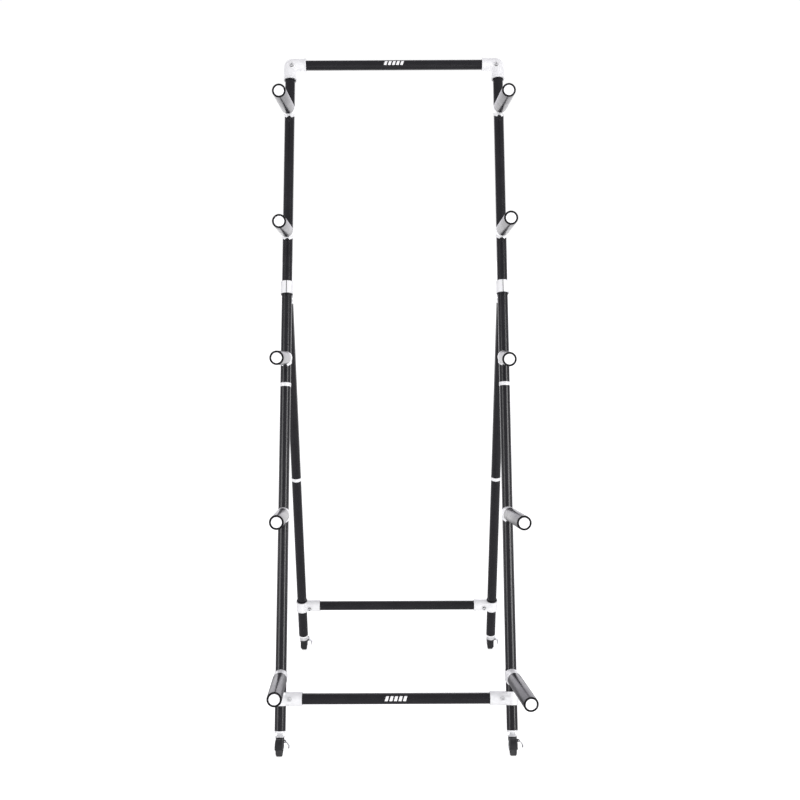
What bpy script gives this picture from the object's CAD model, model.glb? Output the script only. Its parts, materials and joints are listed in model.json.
import json
import math

import bmesh
import bpy
from mathutils import Matrix, Vector


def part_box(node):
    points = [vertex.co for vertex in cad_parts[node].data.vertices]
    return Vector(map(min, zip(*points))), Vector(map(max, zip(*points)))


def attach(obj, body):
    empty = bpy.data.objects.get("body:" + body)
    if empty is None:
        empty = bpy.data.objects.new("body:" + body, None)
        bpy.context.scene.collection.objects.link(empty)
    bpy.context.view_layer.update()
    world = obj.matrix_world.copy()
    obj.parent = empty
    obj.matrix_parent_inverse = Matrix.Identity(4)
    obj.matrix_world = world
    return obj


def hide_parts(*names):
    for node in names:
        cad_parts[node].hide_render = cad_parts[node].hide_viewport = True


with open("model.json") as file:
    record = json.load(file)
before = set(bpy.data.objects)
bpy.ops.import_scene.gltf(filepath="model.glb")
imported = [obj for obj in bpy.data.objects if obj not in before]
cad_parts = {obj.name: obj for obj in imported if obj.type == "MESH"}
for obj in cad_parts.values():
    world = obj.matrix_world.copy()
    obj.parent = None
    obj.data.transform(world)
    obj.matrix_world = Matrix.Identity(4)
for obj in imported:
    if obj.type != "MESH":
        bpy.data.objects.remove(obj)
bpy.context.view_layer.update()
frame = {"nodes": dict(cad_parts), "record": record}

# Looks for a rolling A-frame storage rack. Metres, +Z up, the front faces -Y.
NODES = frame["nodes"]
MM = 0.001
SIDES = ("left", "right")
LEVELS = (1, 2, 3, 4, 5)


# ---- shader helpers ----

def connect(tree, value, socket):
    """Sets a socket to a value, or links it if the value is another node's output."""
    if isinstance(value, bpy.types.NodeSocket):
        tree.links.new(value, socket)
    else:
        socket.default_value = value


def map_range(tree, value, low, high, start=0, end=1, smooth=False):
    """Maps start..end to low..high, and gives the node's output."""
    node = tree.nodes.new("ShaderNodeMapRange")
    node.interpolation_type = "SMOOTHSTEP" if smooth else "LINEAR"
    values = {"Value": value, "From Min": start, "From Max": end, "To Min": low, "To Max": high}
    for name, given in values.items():
        connect(tree, given, node.inputs[name])
    return node.outputs["Result"]


def coordinate(tree, kind, axis):
    """One axis of a Texture Coordinate output."""
    coords = tree.nodes.new("ShaderNodeTexCoord")
    split = tree.nodes.new("ShaderNodeSeparateXYZ")
    tree.links.new(coords.outputs[kind], split.inputs[0])
    return split.outputs[axis]


# ---- camera, studio and floor ----

def add_camera():
    """In front of the rack and above its middle, looking slightly down."""
    spot = (0.0174, -2.989, 1.284)
    look_down, turn_left, roll_right = 8.14, 0.083, 0.265
    data = bpy.data.cameras.new("camera")
    data.lens, data.sensor_width = 51.12, 36
    camera = bpy.data.objects.new("camera", data)
    camera.matrix_world = (Matrix.Translation(spot)
                           @ Matrix.Rotation(math.radians(turn_left), 4, "Z")
                           @ Matrix.Rotation(math.radians(90 - look_down), 4, "X")
                           @ Matrix.Rotation(math.radians(-roll_right), 4, "Z"))
    bpy.context.scene.collection.objects.link(camera)
    bpy.context.scene.camera = camera


def softbox(name, azimuth, distance, height, size, radiance, mirrored):
    """An area light that faces the middle of the rack. Azimuth 0 is on the camera's side, 90 on +X.

    A mirrored light shows in gloss only, and any other lights matt surfaces only.
    """
    data = bpy.data.lights.new(name, "AREA")
    data.shape = "RECTANGLE"
    data.size, data.size_y = size
    data.energy = radiance * math.pi * size[0] * size[1]
    light = bpy.data.objects.new(name, data)
    angle = math.radians(azimuth)
    place = Vector((math.sin(angle) * distance, -math.cos(angle) * distance, height))
    middle = Vector((0, 0, 0.9))
    light.location = place
    light.rotation_euler = (middle - place).to_track_quat("-Z", "Y").to_euler()
    light.visible_camera = False
    light.visible_glossy = mirrored
    light.visible_diffuse = not mirrored
    bpy.context.scene.collection.objects.link(light)


def add_studio():
    """White for the camera and for soft light, but black gloss reflects a dim room and a bright backdrop."""
    white, soft, room, backdrop = 1.02, 0.78, 0.38, 1.75
    backdrop_edge, backdrop_core = (math.cos(math.radians(angle)) for angle in (58, 34))
    world = bpy.data.worlds.new("studio")
    world.use_nodes = True
    bpy.context.scene.world = world
    tree = world.node_tree
    tree.nodes.clear()
    add, link = tree.nodes.new, tree.links.new
    path = add("ShaderNodeLightPath")
    mirrored = map_range(tree, coordinate(tree, "Generated", "Y"), room, backdrop,
                         backdrop_edge, backdrop_core, smooth=True)
    lit = add("ShaderNodeBackground")
    lit.inputs["Color"].default_value = (0.97, 0.955, 1, 1)
    link(map_range(tree, path.outputs["Is Diffuse Ray"], mirrored, soft), lit.inputs["Strength"])
    seen = add("ShaderNodeBackground")
    seen.inputs["Color"].default_value = (1, 1, 1, 1)
    seen.inputs["Strength"].default_value = white
    mix = add("ShaderNodeMixShader")
    out = add("ShaderNodeOutputWorld")
    link(path.outputs["Is Camera Ray"], mix.inputs["Fac"])
    link(lit.outputs[0], mix.inputs[1])
    link(seen.outputs[0], mix.inputs[2])
    link(mix.outputs[0], out.inputs["Surface"])


def add_lights():
    softbox("key", 54, 3.4, 1.5, (1.1, 2.4), 7.0, mirrored=True)
    softbox("fill", -56, 3.4, 1.4, (1.3, 2.4), 3.4, mirrored=True)
    softbox("front", 10, 5.2, 1.6, (3.4, 2.4), 3.2, mirrored=False)
    softbox("right", 60, 3.6, 1.4, (1.4, 2.4), 1.6, mirrored=False)


def floor_material():
    """White for the camera and for soft light. In gloss it is dark in front of the rack and lit behind it."""
    glow, mirrored_glow = 0.8, 1.3
    dark_until, lit_from = 0.6, 2.4
    material = bpy.data.materials.new("studio_floor")
    material.use_nodes = True
    tree = material.node_tree
    bsdf = tree.nodes["Principled BSDF"]
    noise = tree.nodes.new("ShaderNodeTexNoise")
    noise.inputs["Scale"].default_value = 2
    path = tree.nodes.new("ShaderNodeLightPath")
    seen = tree.nodes.new("ShaderNodeMath")
    seen.operation = "MAXIMUM"
    tree.links.new(path.outputs["Is Camera Ray"], seen.inputs[0])
    tree.links.new(path.outputs["Is Diffuse Ray"], seen.inputs[1])
    mirrored = map_range(tree, coordinate(tree, "Object", "Y"), 0, mirrored_glow,
                         dark_until, lit_from, smooth=True)
    connect(tree, map_range(tree, noise.outputs["Fac"], 0.5, 0.53), bsdf.inputs["Base Color"])
    connect(tree, 0.9, bsdf.inputs["Roughness"])
    connect(tree, (1, 1, 1, 1), bsdf.inputs["Emission Color"])
    connect(tree, map_range(tree, seen.outputs[0], mirrored, glow), bsdf.inputs["Emission Strength"])
    return material


def add_floor():
    radius = 60
    mesh = bpy.data.meshes.new("floor")
    shape = bmesh.new()
    bmesh.ops.create_circle(shape, cap_ends=True, segments=96, radius=radius)
    shape.to_mesh(mesh)
    shape.free()
    floor = bpy.data.objects.new("floor", mesh)
    bpy.context.scene.collection.objects.link(floor)
    mesh.materials.append(floor_material())


# ---- materials ----

class Surface:
    """A Principled material whose colour, roughness and relief come from noise in the part's own space."""

    def __init__(self, name, color, roughness, metallic=0.0, specular=0.5, tint=(1, 1, 1)):
        self.material = bpy.data.materials.new(name)
        self.material.use_nodes = True
        self.tree = self.material.node_tree
        self.bsdf = self.tree.nodes["Principled BSDF"]
        self.set("Base Color", (*color, 1))
        self.set("Roughness", roughness)
        self.set("Metallic", metallic)
        self.set("Specular IOR Level", specular)
        self.set("Specular Tint", (*tint, 1))
        self.color = color
        self.relief = None

    def set(self, name, value):
        connect(self.tree, value, self.bsdf.inputs[name])
        return self

    def noise(self, grain, stretch=(1, 1, 1), turn=(0, 0, 0), detail=3):
        """Noise with features about grain metres long, longer along an axis by its stretch."""
        coords = self.tree.nodes.new("ShaderNodeTexCoord")
        place = self.tree.nodes.new("ShaderNodeMapping")
        place.inputs["Rotation"].default_value = turn
        place.inputs["Scale"].default_value = [1 / (grain * s) for s in stretch]
        noise = self.tree.nodes.new("ShaderNodeTexNoise")
        noise.inputs["Scale"].default_value = 1
        noise.inputs["Detail"].default_value = detail
        self.tree.links.new(coords.outputs["Object"], place.inputs["Vector"])
        self.tree.links.new(place.outputs["Vector"], noise.inputs["Vector"])
        return noise.outputs["Fac"]

    def vary_color(self, fac, low, high):
        """The colour runs from low to high times its own value."""
        ramp = self.tree.nodes.new("ShaderNodeValToRGB")
        ramp.color_ramp.elements[0].position = 0.3
        ramp.color_ramp.elements[1].position = 0.7
        for element, share in zip(ramp.color_ramp.elements, (low, high)):
            element.color = (*[min(1, c * share) for c in self.color], 1)
        self.tree.links.new(fac, ramp.inputs["Fac"])
        return self.set("Base Color", ramp.outputs["Color"])

    def vary_roughness(self, fac, low, high):
        return self.set("Roughness", map_range(self.tree, fac, low, high, start=0.3, end=0.7))

    def bump(self, fac, depth, strength=1.0):
        """Relief of that depth in metres, on top of the relief so far."""
        node = self.tree.nodes.new("ShaderNodeBump")
        node.inputs["Distance"].default_value = depth
        node.inputs["Strength"].default_value = strength
        self.tree.links.new(fac, node.inputs["Height"])
        if self.relief:
            self.tree.links.new(self.relief, node.inputs["Normal"])
        self.relief = node.outputs["Normal"]
        return self.set("Normal", self.relief)

    def soft_edges(self, radius):
        """Edges shade as if rounded to that radius."""
        node = self.tree.nodes.new("ShaderNodeBevel")
        node.samples = 4
        node.inputs["Radius"].default_value = radius
        self.relief = node.outputs["Normal"]
        return self.set("Normal", self.relief)

    def dark_edges(self, radius, dark):
        """Grime along the edges: within that radius of one, the colour fades to dark times its own value."""
        bevel = self.tree.nodes.new("ShaderNodeBevel")
        bevel.inputs["Radius"].default_value = radius
        geometry = self.tree.nodes.new("ShaderNodeNewGeometry")
        dot = self.tree.nodes.new("ShaderNodeVectorMath")
        dot.operation = "DOT_PRODUCT"
        self.tree.links.new(bevel.outputs["Normal"], dot.inputs[0])
        self.tree.links.new(geometry.outputs["True Normal"], dot.inputs[1])
        flat = map_range(self.tree, dot.outputs["Value"], 0, 1, start=0.75, end=0.98)
        return self.vary_color(flat, dark, 1)


def tube_coating(name, stretch, lean):
    """Black plastic skin on steel tube, with faint drawing lines along it."""
    s = Surface(name, color=(0.0095, 0.009, 0.0115), roughness=0.3)
    lines = s.noise(1.6 * MM, stretch, turn=(lean, 0, 0), detail=2)
    patches = s.noise(50 * MM, detail=4)
    s.vary_color(patches, 0.85, 1.2)
    s.vary_roughness(patches, 0.21, 0.3)
    s.bump(lines, depth=0.02 * MM, strength=0.5)
    s.bump(s.noise(0.6 * MM), depth=0.01 * MM, strength=0.4)
    return s.material


def cast_metal():
    """Bright die-cast fittings with soft edges."""
    s = Surface("cast_metal", color=(0.84, 0.842, 0.848), roughness=0.4, metallic=0.1)
    s.soft_edges(1.6 * MM)
    mottle = s.noise(12 * MM, detail=5)
    s.vary_color(mottle, 0.95, 1.04)
    s.vary_roughness(mottle, 0.34, 0.46)
    s.bump(s.noise(1.2 * MM), depth=0.015 * MM, strength=0.4)
    return s.material


def sleeve_rubber():
    """Smooth black rubber with a faint violet sheen."""
    s = Surface("sleeve_rubber", color=(0.011, 0.0105, 0.0145), roughness=0.3, specular=0.75,
                tint=(0.95, 0.92, 1))
    patches = s.noise(30 * MM, detail=5)
    s.vary_color(patches, 0.8, 1.3)
    s.vary_roughness(patches, 0.26, 0.34)
    s.bump(s.noise(1.2 * MM), depth=0.012 * MM, strength=0.4)
    return s.material


def sleeve_end():
    """The cut ends of the sleeves, duller than their sides."""
    s = Surface("sleeve_end", color=(0.006, 0.006, 0.0065), roughness=0.6, specular=0.2)
    s.vary_color(s.noise(4 * MM, detail=4), 0.7, 1.4)
    s.vary_roughness(s.noise(2 * MM), 0.5, 0.7)
    s.bump(s.noise(0.6 * MM), depth=0.03 * MM, strength=0.5)
    return s.material


def mark_print():
    """White ink on the crossbars."""
    s = Surface("mark_print", color=(0.9, 0.9, 0.9), roughness=0.45)
    s.vary_color(s.noise(1.5 * MM, detail=4), 0.9, 1.04)
    s.vary_roughness(s.noise(3 * MM), 0.4, 0.55)
    return s.material


def plug_plastic():
    """White moulded end plugs."""
    s = Surface("plug_plastic", color=(0.94, 0.94, 0.95), roughness=0.34)
    s.vary_color(s.noise(20 * MM, detail=4), 0.96, 1.03)
    s.bump(s.noise(0.8 * MM), depth=0.01 * MM, strength=0.4)
    return s.material


def plated_steel():
    """Bright plated steel: arm tubes, pivot pins and brake levers."""
    s = Surface("plated_steel", color=(0.72, 0.725, 0.745), roughness=0.3, metallic=0.95)
    s.soft_edges(0.4 * MM)
    patches = s.noise(6 * MM, detail=5)
    s.vary_color(patches, 0.9, 1.08)
    s.vary_roughness(patches, 0.24, 0.38)
    s.bump(s.noise(0.5 * MM, stretch=(1, 1, 4)), depth=0.01 * MM, strength=0.4)
    return s.material


def zinc():
    """Dull white zinc on the casters' stems, nuts and flanges."""
    s = Surface("zinc", color=(0.78, 0.782, 0.79), roughness=0.36, metallic=0.35)
    s.soft_edges(0.4 * MM)
    s.vary_color(s.noise(5 * MM, detail=5), 0.9, 1.06)
    s.vary_roughness(s.noise(4 * MM), 0.3, 0.45)
    return s.material


def bolt_face():
    """The front faces of the socket bolts, with grime round the head and the socket."""
    s = Surface("bolt_face", color=(0.82, 0.822, 0.83), roughness=0.34, metallic=0.25)
    s.dark_edges(1.3 * MM, 0.08)
    s.vary_roughness(s.noise(3 * MM), 0.28, 0.42)
    return s.material


def dark_gap():
    """Bolt sides and the walls of the collars' slots, where dirt and shade gather."""
    s = Surface("dark_gap", color=(0.05, 0.05, 0.053), roughness=0.45, metallic=0.4)
    s.vary_color(s.noise(2 * MM, detail=4), 0.7, 1.4)
    s.vary_roughness(s.noise(3 * MM), 0.3, 0.5)
    return s.material


def black_screw():
    """Blackened steel screws."""
    s = Surface("black_screw", color=(0.012, 0.012, 0.014), roughness=0.35, metallic=0.3)
    s.soft_edges(0.3 * MM)
    s.vary_roughness(s.noise(3 * MM), 0.28, 0.42)
    return s.material


def hood_plastic():
    """Black moulded caster hoods with a fine texture."""
    s = Surface("hood_plastic", color=(0.016, 0.016, 0.018), roughness=0.42)
    s.soft_edges(0.6 * MM)
    s.vary_color(s.noise(10 * MM, detail=4), 0.8, 1.25)
    s.bump(s.noise(0.5 * MM), depth=0.04 * MM, strength=0.5)
    return s.material


def wheel_rubber():
    """Dusty dark grey wheels."""
    s = Surface("wheel_rubber", color=(0.032, 0.032, 0.034), roughness=0.6)
    dust = s.noise(6 * MM, detail=6)
    s.vary_color(dust, 0.75, 1.6)
    s.vary_roughness(dust, 0.5, 0.72)
    s.bump(s.noise(0.7 * MM), depth=0.06 * MM, strength=0.5)
    return s.material


# ---- the CAD nodes ----

def paint(node, material):
    mesh = NODES[node].data
    mesh.materials.clear()
    mesh.materials.append(material)


def paint_faces(node, material, wanted):
    """Gives the faces that are wanted a second material."""
    mesh = NODES[node].data
    mesh.materials.append(material)
    for face in mesh.polygons:
        face.material_index = int(wanted(face))


def node_lean(node):
    """How far the long axis of a tube node leans from vertical, in radians."""
    low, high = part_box(node)
    return math.atan2(high.y - low.y, high.z - low.z)


def paint_frame():
    """A material for every node, by the start of its name. All other nodes are castings."""
    casting, steel, bolt, gap = cast_metal(), plated_steel(), bolt_face(), dark_gap()
    upright = tube_coating("tube_front", (1, 1, 40), node_lean("upright_lower_left"))
    rear_leg = tube_coating("tube_rear", (1, 1, 40), -node_lean("rear_leg_lower_left"))
    bar = tube_coating("tube_bar", (40, 1, 1), 0)
    looks = [("upright_coupling", casting), ("upright", upright), ("rear_leg_insert", casting),
             ("rear_leg", rear_leg), ("rear_crossbar", bar), ("top_crossbar", bar),
             ("lower_crossbar", bar), ("arm_tubes", steel), ("pivot_pins", steel),
             ("stop_screws", black_screw()), ("caster_hood", hood_plastic()), ("caster_stem", zinc()),
             ("caster_wheel", wheel_rubber()), ("brake_lever", steel),
             ("fitting_bolts", bolt), ("rear_fitting_bolts", bolt)]
    for node in NODES:
        found = [material for start, material in looks if node.startswith(start)]
        paint(node, found[0] if found else casting)
    paint_bolt_sides(gap)
    paint_collar_slots(gap)


def paint_bolt_sides(material):
    """The bolts face the front, so their sides are the faces that don't."""
    facing_front = 0.7
    for node in ("fitting_bolts", "rear_fitting_bolts"):
        paint_faces(node, material, lambda face: abs(face.normal.y) < facing_front)


def paint_collar_slots(material):
    """The walls of a collar's slot face sideways, close to the axis of its upright."""
    sideways, reach = 0.99, 2 * MM
    low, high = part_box("upright_lower_left")
    axis_x = abs(low.x + high.x) / 2
    paint_faces("pivot_collars", material, lambda face: abs(face.normal.x) > sideways
                and abs(abs(face.center.x) - axis_x) < reach)


# ---- pieces made here ----

def arc(centre, radius, start, end, steps=5):
    """Points of an arc in a lathe's profile, as (radius, height). Angles in degrees from the radius."""
    turns = [math.radians(start + (end - start) * k / steps) for k in range(steps + 1)]
    return [(centre[0] + radius * math.cos(t), centre[1] + radius * math.sin(t)) for t in turns]


def turned(shape, profile, place, material_index=lambda radius, height: 0, sides=72):
    """Adds a closed profile, turned round the Z axis of place."""
    count = len(profile)
    rings = [[shape.verts.new(place @ Vector((r * math.cos(a), r * math.sin(a), h)))
              for a in (math.tau * k / sides for k in range(sides))] for r, h in profile]
    for i in range(count):
        j = (i + 1) % count
        (r0, h0), (r1, h1) = profile[i], profile[j]
        for k in range(sides):
            m = (k + 1) % sides
            face = shape.faces.new((rings[i][k], rings[i][m], rings[j][m], rings[j][k]))
            face.smooth = True
            face.material_index = material_index((r0 + r1) / 2, (h0 + h1) / 2)


def add_piece(name, shape, materials, slot, *nodes):
    """Makes the finished shape an object that moves with the front frame and stands for those CAD nodes."""
    bmesh.ops.recalc_face_normals(shape, faces=shape.faces)
    mesh = bpy.data.meshes.new(name)
    shape.to_mesh(mesh)
    shape.free()
    for material in materials:
        mesh.materials.append(material)
    piece = bpy.data.objects.new(name, mesh)
    bpy.context.scene.collection.objects.link(piece)
    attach(piece, "front_frame")
    if nodes:
        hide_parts(*nodes)


SLEEVE_R = 18 * MM
SLEEVE_BORE = 14.1 * MM
PLUG_R = 13.2 * MM
PLUG_T = 3 * MM


def arm_end(level, side):
    """The place of an arm's end face, with Z along the arm, and the arm's sleeve length."""
    mount = next(m for m in frame["record"]["mounts"] if m["name"] == f"arm_{level}_{side}")
    axis = Vector(mount["axis"])
    length = mount["dims"]["length_mm"] * MM
    end = Vector(mount["pos_m"]) + axis * length / 2
    return Matrix.Translation(end) @ axis.to_track_quat("Z", "Y").to_matrix().to_4x4(), length


def sleeve_profile(length):
    """A sleeve's section: rounded at both ends and turned in at the front, with Z = 0 at its end face."""
    round_r, lip_round, lip_r = 1.0 * MM, 0.5 * MM, PLUG_R + 0.1 * MM
    return [(SLEEVE_BORE, -length),
            *arc((SLEEVE_R - round_r, -length + round_r), round_r, -90, 0),
            *arc((SLEEVE_R - round_r, -round_r), round_r, 0, 90),
            *arc((lip_r + lip_round, -lip_round), lip_round, 90, 180),
            (lip_r, -PLUG_T), (SLEEVE_BORE, -PLUG_T)]


def sleeve_material_index(radius, height):
    """1 on the end face and inside its mouth, 0 elsewhere."""
    end_depth = 0.8 * MM
    return int(height > -end_depth or radius < SLEEVE_BORE)


def plug_profile():
    """An end plug's section: a slightly crowned face with a soft rim, and the spigot behind it."""
    crown, rim, hub = 0.7 * MM, 0.9 * MM, 0.3 * MM
    spigot_r, spigot_end = 12.6 * MM, -PLUG_T - 12 * MM
    steps = 6
    face_r = PLUG_R - rim
    face = [(face_r - (face_r - hub) * k / steps, crown * (1 - (1 - k / steps) ** 2))
            for k in range(steps + 1)]
    return [(hub, spigot_end), (spigot_r, spigot_end), (spigot_r, -PLUG_T), (PLUG_R, -PLUG_T),
            *arc((face_r, -rim), rim, 0, 80), *face]


def add_arm_ends():
    """Sleeves with rounded ends, and plugs with crowned faces."""
    rubber, end, plastic = sleeve_rubber(), sleeve_end(), plug_plastic()
    plugs = bmesh.new()
    for level in LEVELS:
        sleeves = bmesh.new()
        for side in SIDES:
            place, length = arm_end(level, side)
            turned(sleeves, sleeve_profile(length), place, sleeve_material_index)
            turned(plugs, plug_profile(), place)
        add_piece(f"sleeves_{level}", sleeves, (rubber, end), "sleeve_black", f"arm_sleeves_{level}")
    add_piece("end_plugs", plugs, (plastic,), "plug_white", "arm_end_plugs")


def add_marks():
    """A row of slanted strokes printed on the middle of each front crossbar, facing square to the frame."""
    strokes, rows = 5, 8
    pitch, width, height, lift = 11.5 * MM, 7.5 * MM, 12.5 * MM, 0.12 * MM
    slant = 0.3
    facing = node_lean("upright_lower_left")
    for bar in ("top_crossbar", "lower_crossbar"):
        low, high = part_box(bar)
        middle, bar_r = (low + high) / 2, (high.z - low.z) / 2
        ink_r = bar_r + lift
        shape = bmesh.new()
        for stroke in range(strokes):
            edge = []
            for row in range(rows + 1):
                up = height * (row / rows - 0.5)
                turn = facing + up / bar_r
                x = (stroke - (strokes - 1) / 2) * pitch + up * slant
                y, z = -ink_r * math.cos(turn), ink_r * math.sin(turn)
                edge.append([shape.verts.new(middle + Vector((x + half, y, z)))
                             for half in (-width / 2, width / 2)])
            for (a, b), (c, d) in zip(edge, edge[1:]):
                shape.faces.new((a, b, d, c))
        add_piece(f"mark_{bar}", shape, (mark_print(),), "plug_white")


add_camera()
add_studio()
add_lights()
add_floor()
paint_frame()
add_arm_ends()
add_marks()

scene = bpy.context.scene
scene.view_settings.view_transform = "Standard"
scene.view_settings.look = "None"
